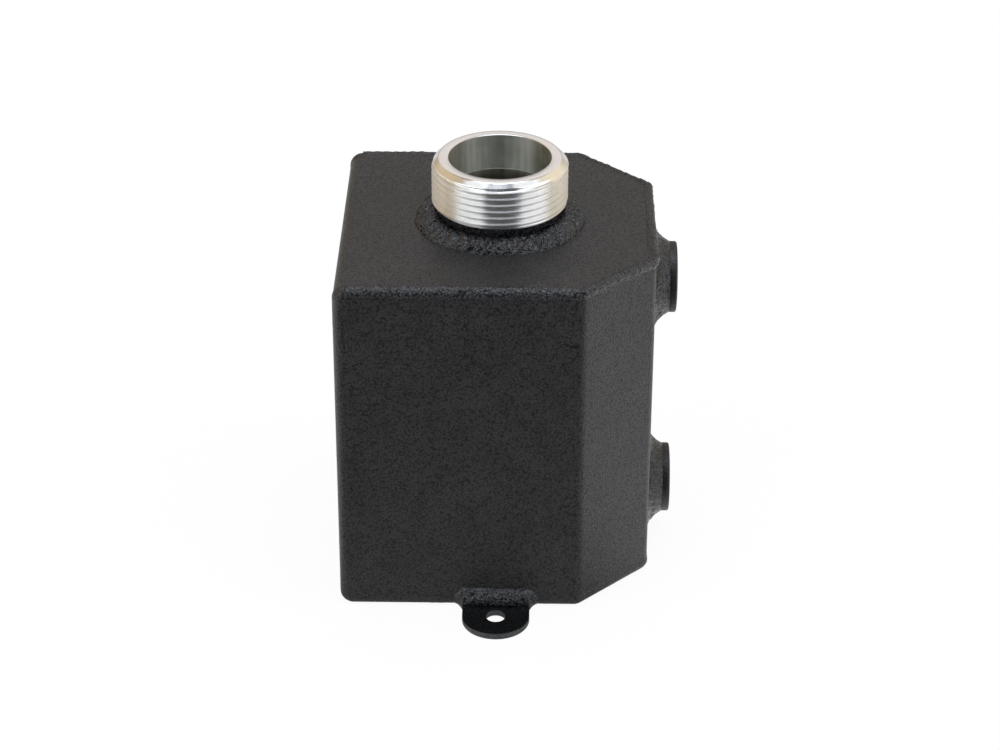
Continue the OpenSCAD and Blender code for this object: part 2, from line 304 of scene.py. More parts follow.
def seam_bead(name, node, folds, place, seed, middle, size, rippling, lumps, lean=None,
              dressed=False):
    """A seam's bead, round the middle at this depth under both sheets' faces.

    place takes (along X, along Y, up) of the route's plane to the tank. lean gives, at
    distances along the route, how far the bead hangs down the wrap, how much larger it is
    and how much of RIDGE it has. A dressed bead is cut flat where up is 0.
    """
    stops = route_stops(folds)
    length = stops[-1, 0]
    ripples = Ripples(length, SEAM_PITCH, seed)
    count = int(length / SEAM_STEP)
    toe = math.acos((middle - SEAM_TOE_DEPTH) / size)
    least = math.hypot(middle, middle - SHEET_T) + SEAM_COVER
    lean_at, lean_by, lean_size, lean_ridge = np.array(lean or [(0, 0, 0, 0)]).T
    last = math.pi / 2 if dressed else math.pi / 2 + toe
    angles = np.linspace(-toe, last, SECTION_POINTS)
    root = -DRESSED_ROOT if dressed else -BEAD_ROOT
    inside = ((-SHEET_T, root), (-SHEET_T, -SHEET_T), (-BEAD_ROOT, -SHEET_T))
    rings = []
    for i in range(count + 1):
        s = length * i / count
        x, y, a = route_frame(stops, s)
        hang = float(np.interp(s, lean_at, lean_by))
        big = size + float(np.interp(s, lean_at, lean_size))
        ridge = float(np.interp(s, lean_at, lean_ridge))
        px = x + FOLD_R * math.cos(a)
        py = y + FOLD_R * math.sin(a)
        wide = SEAM_SWELL * smooth_noise(px, py, 0, SEAM_SWELL_LENGTH, seed + WIDTH_SEED)
        section = []
        for phi in angles:
            across_bead = (phi - math.pi / 4) / (math.pi / 4 + toe)
            arch = max(0.0, 1 - across_bead ** 2)
            h = ripples.height(s, SEAM_LEAD * arch) * arch
            lump = bead_lump(px + LUMP_SPREAD * math.cos(phi), py,
                             LUMP_SPREAD * math.sin(phi), seed)
            shaped = ridge * float(np.interp(math.degrees(phi), *zip(*RIDGE)))
            r = max(least, big + wide + shaped + rippling * h + lumps * lump)
            up = -middle + r * math.sin(phi) - hang * arch * max(0.0, math.cos(phi))
            section.append((-middle + r * math.cos(phi), min(up, 0.0) if dressed else up))
        section += inside
        rings.append([place(x + (FOLD_R + across) * math.cos(a),
                            y + (FOLD_R + across) * math.sin(a), up)
                      for across, up in section])
    verts, faces = ring_faces(rings, False)
    cap_ends(faces, len(rings), len(rings[0]))
    return new_piece(name, verts, faces, node)


# Beads round the neck and the ports

CORNER_PITCH = 3.45
CORNER_STEP = 0.34
CORNER_LEAD = 0.7
CORNER_WOBBLE = 0.7
CORNER_WOBBLE_LENGTH = 4.0
CORNER_LUMPS = 0.28

# Up its section its lumps are read as if it was this high
CORNER_LUMP_RISE = 2

# How far its root goes past its foot on the sheet
CORNER_FOOT = 0.15

# How far, as a share of the section, it dips under the two faces that it joins
CORNER_DIP = 0.03

# The less of these, the more of the ripples and lumps stays near the bead's edges
CORNER_RIPPLE_FADE = 0.6
LUMP_FADE = 0.5

# Keeps a room finite where a direction runs along its side
LEAST_SHARE = 0.01

NO_LIMIT = (math.inf, math.inf)


def corner_bead(name, node, radius, width, height, bulge, rippling, place, seed, rooms=NO_LIMIT):
    """A bead in the corner between a round side and a flat sheet.

    width takes an angle to the bead's width there. The rooms are how far the bead may reach
    along its first axis, to its low and its high side.
    """
    length = 2 * math.pi * (radius + width(0.0) / 2)
    ripples = Ripples(length, CORNER_PITCH, seed, closed=True)
    count = int(length / CORNER_STEP)
    shares = np.linspace(-CORNER_DIP, 1 + CORNER_DIP, SECTION_POINTS)
    rings = []
    for i in range(count):
        s = length * i / count
        a = 2 * math.pi * i / count
        share = math.cos(a)
        room = rooms[1 if share > 0 else 0] / max(LEAST_SHARE, abs(share))
        wobble = CORNER_WOBBLE * smooth_noise(radius * math.cos(a), radius * math.sin(a), 0,
                                              CORNER_WOBBLE_LENGTH, seed + WOBBLE_SEED)
        w = min(width(a) + wobble, room - radius)
        size = math.hypot(w, height)
        out = (height / size, w / size)
        ring = [(radius - BEAD_ROOT, -BEAD_ROOT), (radius + w + CORNER_FOOT, -BEAD_ROOT)]
        for t in shares:
            arch = 4 * t * (1 - t)
            inner = max(0.0, arch)
            h = ripples.height(s, CORNER_LEAD * arch) * inner ** CORNER_RIPPLE_FADE
            px = (radius + w * (1 - t)) * math.cos(a)
            py = (radius + w * (1 - t)) * math.sin(a)
            lump = bead_lump(px, py, CORNER_LUMP_RISE * t, seed) * inner ** LUMP_FADE
            rise = bulge * arch + rippling * h + CORNER_LUMPS * lump
            ring.append((radius + w * (1 - t) + out[0] * rise, height * t + out[1] * rise))
        rings.append([place(p[0] * math.cos(a), p[0] * math.sin(a), p[1]) for p in ring])
    verts, faces = ring_faces(rings, True)
    return new_piece(name, verts, faces, node)


# Beads over the tabs' roots

TAB_BEAD_PITCH = 3.2
TAB_BEAD_STEP = 0.28
TAB_BEAD_LEAD = 0.4
TAB_BEAD_BULGE = 0.95
TAB_BEAD_RIPPLING = 0.3
TAB_BEAD_LUMPS = 0.3

# Its reach up the wall, out on the tab and past the tab's sides
TAB_BEAD_TOP = 8.2
TAB_BEAD_OUT = 3.1
TAB_BEAD_OVER = 4.2

# How its upper edge comes down past the tab's sides and at its ends, and its waves
TOP_DROP = 1.8
TOP_END_DROP = 1.2
TOP_WAVE = 0.35
TOP_WAVE_LENGTH = 4.0

# Its lower edge: least distance from the wall, its waves and the level that they are read at
LEAST_OUT = 0.15
TOE_WAVE = 0.25
TOE_WAVE_LENGTH = 3.0
TOE_WAVE_LEVEL = 9

# At the tab's sides its foot goes down to FOOT_LOW over FOOT_RUN, and begins FOOT_LEAD of
# these runs before the side
FOOT_LOW = 0.3
FOOT_RUN = 0.3
FOOT_LEAD = 1.2

# Over the base's bead: its least thickness, and what its middle and its lumps add
OVER_LEAST = 0.55
OVER_ARCH = 0.3
OVER_LUMPS = 0.08

# At its ends its face sinks to this much over that bead's round, its root to this much under
OVER_FLOOR = 0.1
OVER_ROOT = 0.5

# Past the tab's sides: how round its ends are, and how fast it sinks to the base's bead
END_ROUND = 3
END_SINK = 1.2

# The share of the section from which it is on the wall, and how far its root goes past its
# top and its foot
ON_WALL = 0.97
TOP_ROOT = 0.1
FOOT_ROOT = 0.2


def sink(x, z, floor, keep, least=0.0):
    """Moves a point of the tab bead's section towards the middle of the base's bead.

    It keeps this share of its distance over the floor, and stays at least so far out.
    """
    across, up = x + SEAM_ROUND, z - SEAM_ROUND
    far = math.hypot(across, up)
    to = floor + (max(far, least) - floor) * keep
    return across * to / far - SEAM_ROUND, up * to / far + SEAM_ROUND


def tab_bead(name, node, side, seed):
    """The bead over a tab's root, from the wall over the base's bead onto the tab."""
    half = TAB_W / 2
    length = 2 * (half + TAB_BEAD_OVER)
    ripples = Ripples(length, TAB_BEAD_PITCH, seed)
    count = int(length / TAB_BEAD_STEP)
    rings = []
    for i in range(count + 1):
        s = length * i / count
        x = s - half - TAB_BEAD_OVER
        past = max(0.0, (abs(x) - half) / TAB_BEAD_OVER)
        end = math.sqrt(max(0.0, 1 - past ** END_ROUND))
        keep = (1 - past) ** END_SINK
        beside = min(1.0, max(0.0, (abs(x) - half) / FOOT_RUN + FOOT_LEAD))
        foot = SHEET_T - (SHEET_T - FOOT_LOW) * beside
        wave = TOP_WAVE * smooth_noise(x, 0, 0, TOP_WAVE_LENGTH, seed + EDGE_SEED)
        top = TAB_BEAD_TOP - TOP_DROP * past ** 2 - TOP_END_DROP * (1 - end) + wave
        wave = TOE_WAVE * smooth_noise(x, 0, TOE_WAVE_LEVEL, TOE_WAVE_LENGTH, seed)
        toe = LEAST_OUT + TAB_BEAD_OUT * (1 - past) ** 2 + wave * (1 - past)
        span = math.hypot(top - foot, toe)
        out = ((top - foot) / span, toe / span)
        ring = []
        for t in np.linspace(0, 1, SECTION_POINTS):
            arch = 4 * t * (1 - t)
            h = ripples.height(s, TAB_BEAD_LEAD * arch) * arch
            lump = bead_lump(x, LUMP_SPREAD * t, 0, seed)
            rise = end * (TAB_BEAD_BULGE * arch + TAB_BEAD_RIPPLING * h * arch
                          + TAB_BEAD_LUMPS * lump * arch ** LUMP_FADE)
            px = toe * (1 - t) + out[0] * rise
            pz = foot + (top - foot) * t + out[1] * rise
            least = SEAM_ROUND + OVER_LEAST * (1 - past) + OVER_ARCH * end * arch * (1 - past) \
                + OVER_LUMPS * lump * arch
            ring.append(sink(px, pz, SEAM_ROUND + OVER_FLOOR, keep, least if t < ON_WALL else 0))
        for px, pz in ((-BEAD_ROOT, top + TOP_ROOT), (-BEAD_ROOT, foot - FOOT_ROOT)):
            ring.append(sink(px, pz, SEAM_ROUND - OVER_ROOT, keep))
        rings.append([(TAB_X + x, side * (HALF_D + p[0]), p[1]) for p in ring])
    verts, faces = ring_faces(rings, False)
    cap_ends(faces, len(rings), len(rings[0]))
    return new_piece(name, verts, faces, node)


# Threads

# Half of a groove's width in pitches, and over 1 a narrower bottom
GROOVE_HALF = 0.4
GROOVE_ROUND = 1.2


def groove(u):
    """How deep a rounded groove is at u pitches from its middle, from 0 to 1."""
    u = abs((u + 0.5) % 1.0 - 0.5)
    return math.cos(0.5 * math.pi * u / GROOVE_HALF) ** GROOVE_ROUND if u < GROOVE_HALF else 0.0


def thread(columns, turns, per_pitch, pitch, start, low, high, radius, place):
    """A threaded side whose rows of points climb with the thread, cut off at low and high.

    radius takes a height and the pitches from the middle of a groove to the radius there.
    """
    rows = [turn + k / per_pitch for turn in turns for k in range(per_pitch)]
    verts = []
    for i in range(columns + 1):
        part = i / columns
        a = 2 * math.pi * part
        for u in rows:
            z = min(max(start + pitch * (u + part), low), high)
            r = radius(z, (z - start) / pitch - part)
            verts.append(place(r * math.cos(a), r * math.sin(a), z))
    faces = []
    for i in range(columns):
        for k in range(len(rows) - 1):
            here = i * len(rows) + k
            there = here + len(rows)
            faces.append((here, there, there + 1, here + 1))
    return verts, faces


# Filler neck

NECK_COLUMNS = 256
NECK_TURNS = range(-2, 8)
NECK_PER_PITCH = 14

# The thread starts this far inside its full radius, and its grooves grow over this height
THREAD_CHAMFER = 1.15
THREAD_FADE = 1.6

# The chamfer of the rim ends this far under the top
RIM_SOFT_H = 0.18

# Points on its edges: [outwards, down] from the sharp edge
RIM_EDGE = ((-0.05, 0.04), (-0.25, 0.0))
MOUTH_EDGE = ((0.3, 0.0), (0.08, 0.08), (0.0, 0.3))
SEAT_HOLLOW = ((0.0, -0.05), (-0.06, 0.0))
SEAT_EDGE = ((0.12, 0.0), (0.0, 0.12))
COLLAR_HOLLOW = ((0.0, 0.4), (0.12, 0.1), (0.3, 0.0))

# Margins for telling its faces apart
NECK_NEAR = 0.05
COLLAR_NEAR = 0.001


def edge(radius, height, points):
    """The points on an edge of a turned profile, which would be sharp at radius, height."""
    return [(radius + out, height - down) for out, down in points]


def neck():
    top_chamfer_z = NECK_H - (THREAD_R - RIM_R)
    seat_z = NECK_H - NECK_SEAT_DEPTH
    high = NECK_H - RIM_SOFT_H

    def envelope(z):
        up = THREAD_R - max(0.0, z - top_chamfer_z)
        down = THREAD_R - THREAD_CHAMFER + (z - COLLAR_H)
        return min(THREAD_R, up, down)

    def radius_at(z, pitches):
        fade = min(1.0, max(0.0, (z - COLLAR_H) / THREAD_FADE))
        return min(envelope(z), THREAD_R - THREAD_DEPTH * groove(pitches) * fade)

    outside = thread(NECK_COLUMNS, NECK_TURNS, NECK_PER_PITCH, THREAD_PITCH,
                     COLLAR_H + THREAD_LEAD_IN, COLLAR_H, high, radius_at, neck_place)
    profile = [(envelope(high), high)]
    profile += edge(RIM_R, NECK_H, RIM_EDGE)
    profile += edge(NECK_BORE_R, NECK_H, MOUTH_EDGE)
    profile += edge(NECK_BORE_R, seat_z, SEAT_HOLLOW)
    profile += edge(NECK_THROAT_R, seat_z, SEAT_EDGE)
    profile += [(NECK_THROAT_R, -SHEET_T), (NECK_SPIGOT_R, -SHEET_T), (NECK_SPIGOT_R, 0.0)]
    profile += [(COLLAR_R, 0.0)]
    profile += edge(COLLAR_R, COLLAR_H, COLLAR_HOLLOW)
    profile += [(envelope(COLLAR_H), COLLAR_H)]
    verts, faces = joined(outside, turned(profile, NECK_COLUMNS, neck_place))
    piece = new_piece("neck_turned", verts, faces, "filler_neck")
    paint(piece, bare_metal, bead_coat, painted_shade_bore_metal, painted_shade_throat_metal, rim_metal)
    for face in piece.data.polygons:
        c = face.center / MM
        radius = math.hypot(c.x - NECK_X, c.y)
        up = c.z - TANK_H
        # Inside the bore the metal is painted dark, and under the seat darker still: painted
        # shade
        if radius < NECK_BORE_R + NECK_NEAR:
            face.material_index = 2 if up > seat_z - NECK_NEAR else 3
        elif up < COLLAR_H - COLLAR_NEAR:
            face.material_index = 1
        elif up > top_chamfer_z:
            face.material_index = 4


# Ports

PORT_COLUMNS = 160
PORT_TURNS = range(-2, 9)
PORT_PER_PITCH = 8

# Inner thread: a tapered pipe thread whose grooves grow from the inner end over this height
PORT_PITCH = 1.814
PORT_THREAD_DEPTH = 1.0
PORT_TAPER = 1 / 32
PORT_FADE = 0.8

# The mouth's chamfer with its slope, its width at the lip, and the small lip round it
MOUTH_DEPTH = 1.3
MOUTH_SLOPE = 0.97
MOUTH_WIDTH = 1.2
LIP_H = 0.06
LIP_W = 0.15

# Points on the outer edge: [outwards, down] from the sharp edge
PORT_EDGE = ((0.0, 0.8), (-0.06, 0.5), (-0.25, 0.2), (-0.55, 0.04), (-0.9, 0.0))

# Margins for telling its faces apart
PORT_NEAR = 0.02
PORT_END_NEAR = 0.01


def port(node):
    top = PORT_REACH - LIP_H
    lip_r = PORT_BORE_R + MOUTH_WIDTH

    def radius_at(z, pitches):
        if z == top:
            return lip_r
        if z == -SHEET_T:
            return PORT_BORE_R
        mouth = PORT_BORE_R + max(0.0, z - (PORT_REACH - MOUTH_DEPTH)) * MOUTH_SLOPE
        inner = PORT_BORE_R + (z + SHEET_T) * PORT_TAPER
        fade = min(1.0, max(0.0, (z + SHEET_T) / PORT_FADE))
        return max(mouth, inner + PORT_THREAD_DEPTH * groove(pitches) * fade)

    profile = [(PORT_BORE_R, -SHEET_T), (PORT_SPIGOT_R, -SHEET_T), (PORT_SPIGOT_R, 0.0)]
    profile += [(PORT_R, 0.0)]
    profile += edge(PORT_R, PORT_REACH, PORT_EDGE)
    profile += [(lip_r + LIP_W, PORT_REACH), (lip_r, top)]
    inside = thread(PORT_COLUMNS, PORT_TURNS, PORT_PER_PITCH, PORT_PITCH, -SHEET_T, -SHEET_T,
                    top, radius_at, port_place(node))
    verts, faces = joined(turned(profile, PORT_COLUMNS, port_place(node)), inside)
    piece = new_piece(node + "_turned", verts, faces, node)
    paint(piece, port_coat, port_metal)
    for face in piece.data.polygons:
        c = face.center / MM
        radius = math.hypot(c.y, c.z - PORT_Z[node])
        if radius < lip_r + PORT_NEAR and c.x > HALF_W - SHEET_T + PORT_END_NEAR:
            face.material_index = 1


# Tabs

TAB_SOFT = 0.4
HOLE_SOFT = 0.3
SOFT_STEPS = 4
TAB_COLUMNS = 120
ALMOST_ZERO = 1e-9


def soft_edge(radius):
    """A quarter round from a flat face to a side: points [in from the side, from the face]."""
    turns = [math.radians(90 / SOFT_STEPS * k) for k in range(SOFT_STEPS + 1)]
    return [(radius * (1 - math.sin(q)), radius * (1 - math.cos(q))) for q in turns]


def tab(name, node, side):
    """A tab made of sections round its hole, which run from the hole to the outline."""
    centre_y = -HALF_D - HOLE_REACH
    arc_y = -HALF_D - TAB_REACH + TAB_W / 2
    half = TAB_W / 2

    def root_y(z):
        return -HALF_D + SEAM_ROUND - math.sqrt(SEAM_OVER_R ** 2 - (SEAM_ROUND - z) ** 2)

    def outline(angle, inset, z):
        """Where a ray from the hole's middle meets the outline."""
        dx, dy = math.cos(angle), math.sin(angle)
        best = math.inf
        if abs(dx) > ALMOST_ZERO:
            t = ((half - inset) * math.copysign(1, dx)) / dx
            if centre_y + t * dy >= arc_y:
                best = min(best, t)
        if dy > ALMOST_ZERO:
            best = min(best, (root_y(z) - centre_y) / dy)
        off = centre_y - arc_y
        b = off * dy
        c = off ** 2 - (half - inset) ** 2
        t = -b + math.sqrt(b * b - c)
        if off + t * dy <= 0:
            best = min(best, t)
        return best

    corners = [math.atan2(root_y(z) - centre_y, s * half) for z in (0, SHEET_T) for s in (1, -1)]
    even = [2 * math.pi * i / TAB_COLUMNS - math.pi for i in range(TAB_COLUMNS)]
    rings = []
    for angle in sorted(even + corners):
        hole_low = [(HOLE_R + inset, z) for inset, z in soft_edge(HOLE_SOFT)]
        hole_high = [(r, SHEET_T - z) for r, z in reversed(hole_low)]
        out_low = [(outline(angle, inset, z), z) for inset, z in soft_edge(TAB_SOFT)]
        out_high = [(outline(angle, inset, SHEET_T - z), SHEET_T - z)
                    for inset, z in soft_edge(TAB_SOFT)]
        section = hole_low + hole_high + out_high + out_low[::-1]
        rings.append([(TAB_X + r * math.cos(angle), -side * (centre_y + r * math.sin(angle)), z)
                      for r, z in section])
    verts, faces = ring_faces(rings, True)
    return new_piece(name, verts, faces, node)


# Shader nodes

def node_at(tree, kind, x, y, **values):
    node = tree.nodes.new(kind)
    node.location = (x, y)
    for key, value in values.items():
        if key in node.inputs:
            node.inputs[key].default_value = value
        else:
            setattr(node, key, value)
    return node


def ramp(tree, x, y, stops):
    node = node_at(tree, "ShaderNodeValToRGB", x, y)
    elements = node.color_ramp.elements
    while len(elements) < len(stops):
        elements.new(0.5)
    for element, (place, colour) in zip(elements, stops):
        element.position = place
        element.color = (*colour, 1.0)
    return node


def map_range(tree, x, y, span, to):
    node = node_at(tree, "ShaderNodeMapRange", x, y)
    node.inputs["From Min"].default_value = span[0]
    node.inputs["From Max"].default_value = span[1]
    node.inputs["To Min"].default_value = to[0]
    node.inputs["To Max"].default_value = to[1]
    return node


def new_material(name):
    """A material, its node tree and the function that links two of its sockets."""
    material = bpy.data.materials.new(name)
    material.use_nodes = True
    return material, material.node_tree, material.node_tree.links.new


def paint(piece, *materials):
    piece.data.materials.clear()
    for material in materials:
        piece.data.materials.append(material)


# Wrinkle coat

# Scales are waves to the metre, and spans are where a noise starts and ends its effect
WORM_SCALE = 1500.0
WORM_SMOOTHNESS = 0.6
WORM_SPAN = (0.25, 0.75)
WARP_SCALE = 900.0
WARP_SHIFT = 0.0009
FINE_SHARE = 0.5
ROUGH_SPAN = (0.2, 0.9)
PATCH_SCALE = 70.0
PATCH_SPAN = (0.3, 0.7)
PATCH_SHADES = (0.86, 1.14)
COAT_IOR = 1.5


def coat(name, dark, light, bump, rough, grain=1.0):
    """Black wrinkle powder coat: fine worms of coat with soft valleys between them, where the
    colour is painted dark as shade in the creases.

    bump is the depth in metres, rough the roughness of the worms and of the valleys, and
    grain how large the worms are. light is the coat's own tone on the worms, dark the painted
    shade in the valleys.
    """
    material, tree, link = new_material(name)
    shader = tree.nodes["Principled BSDF"]
    coords = node_at(tree, "ShaderNodeTexCoord", -1400, 0)

    warp = node_at(tree, "ShaderNodeTexNoise", -1200, -300, Scale=WARP_SCALE / grain, Detail=2.0)
    link(coords.outputs["Object"], warp.inputs["Vector"])
    shift = node_at(tree, "ShaderNodeVectorMath", -1000, -200, operation="MULTIPLY_ADD")
    shift.inputs[1].default_value = (WARP_SHIFT * grain,) * 3
    link(warp.outputs["Color"], shift.inputs[0])
    link(coords.outputs["Object"], shift.inputs[2])

    worms = node_at(tree, "ShaderNodeTexVoronoi", -800, 0, Scale=WORM_SCALE / grain)
    worms.feature = "SMOOTH_F1"
    worms.inputs["Smoothness"].default_value = WORM_SMOOTHNESS
    link(shift.outputs["Vector"], worms.inputs["Vector"])
    fine = node_at(tree, "ShaderNodeTexNoise", -800, -300, Scale=WORM_SCALE / grain, Detail=1.0)
    link(coords.outputs["Object"], fine.inputs["Vector"])
    broad = node_at(tree, "ShaderNodeTexNoise", -800, -560, Scale=PATCH_SCALE, Detail=3.0)
    link(coords.outputs["Object"], broad.inputs["Vector"])

    height = node_at(tree, "ShaderNodeMath", -560, -100, operation="MULTIPLY_ADD")
    height.inputs[1].default_value = FINE_SHARE
    link(fine.outputs["Fac"], height.inputs[0])
    link(worms.outputs["Distance"], height.inputs[2])

    # The colour follows the worms' height: the coat's tone on them, painted shade down in the
    # valleys
    tint = ramp(tree, -500, 260, [(WORM_SPAN[0], light), (WORM_SPAN[1], dark)])
    link(worms.outputs["Distance"], tint.inputs["Fac"])
    patches = map_range(tree, -500, 60, PATCH_SPAN, PATCH_SHADES)
    link(broad.outputs["Fac"], patches.inputs["Value"])
    colour = node_at(tree, "ShaderNodeVectorMath", -240, 200, operation="SCALE")
    link(tint.outputs["Color"], colour.inputs[0])
    link(patches.outputs["Result"], colour.inputs["Scale"])
    link(colour.outputs["Vector"], shader.inputs["Base Color"])

    shine = map_range(tree, -240, -160, ROUGH_SPAN, rough)
    link(height.outputs["Value"], shine.inputs["Value"])
    link(shine.outputs["Result"], shader.inputs["Roughness"])

    bumps = node_at(tree, "ShaderNodeBump", -240, -420, Strength=1.0, Distance=bump)
    bumps.invert = True
    link(height.outputs["Value"], bumps.inputs["Height"])
    link(bumps.outputs["Normal"], shader.inputs["Normal"])
    shader.inputs["IOR"].default_value = COAT_IOR
    return material


# Turned metal

# Its streaks are stretched along the axis
STREAK_SCALE = 420.0
STREAK_STRETCH = 0.08
CLOUD_SCALE = 160.0
CLOUD_SHARE = 0.5
METAL_SPAN = (0.35, 0.65)
TOOL_BUMP = 0.00001
TOOL_BUMP_STRENGTH = 0.3
QUARTER_TURN = 0.25


def turned_metal(name, dark, light, rough, axis="Z", anisotropic=1.0):
    """Turned aluminium: the sheen of fine lines round the axis, a little streaky and cloudy."""
    material, tree, link = new_material(name)
    shader = tree.nodes["Principled BSDF"]
    coords = node_at(tree, "ShaderNodeTexCoord", -1400, 0)
    stretch = node_at(tree, "ShaderNodeMapping", -1200, 0)
    along_z = axis == "Z"
    stretch.inputs["Scale"].default_value = (1, 1, STREAK_STRETCH) if along_z \
        else (STREAK_STRETCH, 1, 1)
    link(coords.outputs["Object"], stretch.inputs["Vector"])
    streaks = node_at(tree, "ShaderNodeTexNoise", -900, 0, Scale=STREAK_SCALE, Detail=3.0)
    link(stretch.outputs["Vector"], streaks.inputs["Vector"])
    cloud = node_at(tree, "ShaderNodeTexNoise", -900, -300, Scale=CLOUD_SCALE, Detail=4.0)
    link(coords.outputs["Object"], cloud.inputs["Vector"])
    both = node_at(tree, "ShaderNodeMix", -600, 0)
    both.inputs["Factor"].default_value = CLOUD_SHARE
    link(streaks.outputs["Fac"], both.inputs["A"])
    link(cloud.outputs["Fac"], both.inputs["B"])

    tint = ramp(tree, -300, 200, [(METAL_SPAN[0], dark), (METAL_SPAN[1], light)])
    link(both.outputs["Result"], tint.inputs["Fac"])
    link(tint.outputs["Color"], shader.inputs["Base Color"])
    shine = map_range(tree, -300, -60, METAL_SPAN, rough)
    link(cloud.outputs["Fac"], shine.inputs["Value"])
    link(shine.outputs["Result"], shader.inputs["Roughness"])
    bumps = node_at(tree, "ShaderNodeBump", -300, -300, Strength=TOOL_BUMP_STRENGTH,
                    Distance=TOOL_BUMP)
    link(both.outputs["Result"], bumps.inputs["Height"])
    link(bumps.outputs["Normal"], shader.inputs["Normal"])
    tangent = node_at(tree, "ShaderNodeTangent", -300, -520, direction_type="RADIAL", axis=axis)
    link(tangent.outputs["Tangent"], shader.inputs["Tangent"])
    shader.inputs["Metallic"].default_value = 1.0
    shader.inputs["Anisotropic"].default_value = anisotropic
    shader.inputs["Anisotropic Rotation"].default_value = QUARTER_TURN
    return material


# Materials

sheet_coat = coat("wrinkle_coat", dark=(0.0004, 0.0004, 0.0005), light=(0.031, 0.0305, 0.03),
                  bump=0.00013, rough=(0.32, 0.5))
tab_coat = coat("tab_coat", dark=(0.0005, 0.0006, 0.0007), light=(0.0075, 0.0078, 0.0082),
                bump=0.00006, rough=(0.2, 0.3))
# A lighter coat for the tabs' cut edges: painted light, as from the white floor in front of them
painted_light_edge_coat = coat("tab_edge_painted_light", dark=(0.03, 0.031, 0.031), light=(0.07, 0.072, 0.072),
                 bump=0.00006, rough=(0.4, 0.55))
port_coat = coat("port_coat", dark=(0.0005, 0.0005, 0.0005), light=(0.012, 0.012, 0.0115),
                 bump=0.0001, rough=(0.36, 0.5))
bead_coat = coat("wrinkle_coat_on_bead", dark=(0.0008, 0.0008, 0.001),
                 light=(0.032, 0.033, 0.037), bump=0.00038, rough=(0.13, 0.26), grain=1.3)
bare_metal = turned_metal("turned_aluminium", dark=(0.8, 0.785, 0.76), light=(0.9, 0.89, 0.87),
                          rough=(0.34, 0.42))
rim_metal = turned_metal("turned_rim", dark=(0.92, 0.91, 0.885), light=(0.98, 0.975, 0.955),
                         rough=(0.15, 0.21), anisotropic=0.3)
# Under the seat the neck's throat is painted darker still: painted shade deep in the neck
painted_shade_throat_metal = turned_metal("throat_painted_shade", dark=(0.11, 0.105, 0.08),
                            light=(0.2, 0.19, 0.15), rough=(0.45, 0.6), anisotropic=0.3)
# The bore's aluminium is painted dark: painted shade inside the neck
painted_shade_bore_metal = turned_metal("bore_painted_shade", dark=(0.23, 0.235, 0.2), light=(0.38, 0.38, 0.335),
                          rough=(0.5, 0.62), anisotropic=0.5)
port_metal = turned_metal("port_aluminium", dark=(0.6, 0.59, 0.57), light=(0.75, 0.74, 0.72),
                          rough=(0.3, 0.4), axis="X")


# The pieces

PLAN_FOLDS = [((FOLD_R - HALF_W, FOLD_R - HALF_D), -90, -90), *wrap_folds(),
              ((FOLD_R - HALF_W, HALF_D - FOLD_R), 90, 90)]
SIDE_FOLDS = [((FOLD_R - HALF_W, TANK_H - FOLD_R), 90, 180),
              ((FOLD_R - HALF_W, FOLD_R), 180, 270)]

# The top bead along its route from the front left: [distance, hang, change of size, ridge]
TOP_LEAN = [(0, 0, 0, 0), (45, 0.1, 0, 0), (80, 0.4, 0, 0.2), (90, 0.3, 0, 1),
            (124, 0.2, 0, 1), (134, 0.3, -0.2, 0), (165, 0.1, -0.35, 0),
            (210, 0, -0.6, 0), (400, 0, -0.6, 0)]

NECK_BEAD_WIDTH = 7.5
NECK_BEAD_OVAL = 0.6
PORT_BEAD_WIDTH = 8.5


def side_seam_bead(name, node, side, seed):
    """The bead down the left edge of the front or the back."""
    return seam_bead(name, node, SIDE_FOLDS,
                     lambda x, y, up: (x, side * (HALF_D + up), max(0.0, y)),
                     seed=seed, middle=SEAM_ROUND, size=3.8, rippling=0.06, lumps=0.04)


def port_bead(name, node, port_node, seed):
    """The bead round a port, which stops at the seams' beads over and under it."""
    rooms = (PORT_Z[port_node] - SEAM_EDGE, TANK_H - SEAM_EDGE - PORT_Z[port_node])
    return corner_bead(name, node, PORT_R, lambda a: PORT_BEAD_WIDTH, height=6.2, bulge=-1.6,
                       rippling=0.3, place=port_place(port_node), seed=seed, rooms=rooms)


top_bead = seam_bead("top_seam_bead", "top_seam_weld", PLAN_FOLDS,
                     lambda x, y, up: (x, y, TANK_H + up),
                     seed=0.13, middle=1.7, size=2.5, rippling=0.3, lumps=0.2, lean=TOP_LEAN)
even_beads = [
    seam_bead("base_seam_bead", "base_seam_weld", PLAN_FOLDS, lambda x, y, up: (x, y, -up),
              seed=0.57, middle=SEAM_ROUND, size=3.82, rippling=0.06, lumps=0.04,
              dressed=True),
    side_seam_bead("front_seam_bead", "front_seam_weld", -1, 0.31),
    side_seam_bead("rear_seam_bead", "rear_seam_weld", 1, 0.77),
]
rippled_beads = [
    corner_bead("neck_bead", "neck_weld", COLLAR_R,
                lambda a: NECK_BEAD_WIDTH + NECK_BEAD_OVAL * math.cos(2 * a),
                height=4.0, bulge=1.2, rippling=1.2, place=neck_place, seed=0.42),
    port_bead("upper_port_bead", "upper_port_weld", "upper_port", 0.21),
    port_bead("lower_port_bead", "lower_port_weld", "lower_port", 0.66),
    tab_bead("front_tab_bead", "front_tab_weld", -1, 0.36),
    tab_bead("rear_tab_bead", "rear_tab_weld", 1, 0.84),
]
for bead in even_beads:
    paint(bead, sheet_coat)
for bead in rippled_beads:
    paint(bead, bead_coat)

# Behind the front slanted corner the top bead has the coat of the sheets
paint(top_bead, bead_coat, sheet_coat)
for face in top_bead.data.polygons:
    if face.center.y / MM > CORNER_CUT - HALF_D:
        face.material_index = 1

neck()
for node in ("upper_port", "lower_port"):
    port(node)

# The faces of a tab that are steeper than this are its cut edges, which get the lighter coat of
# painted light from the floor
STEEP = 0.5

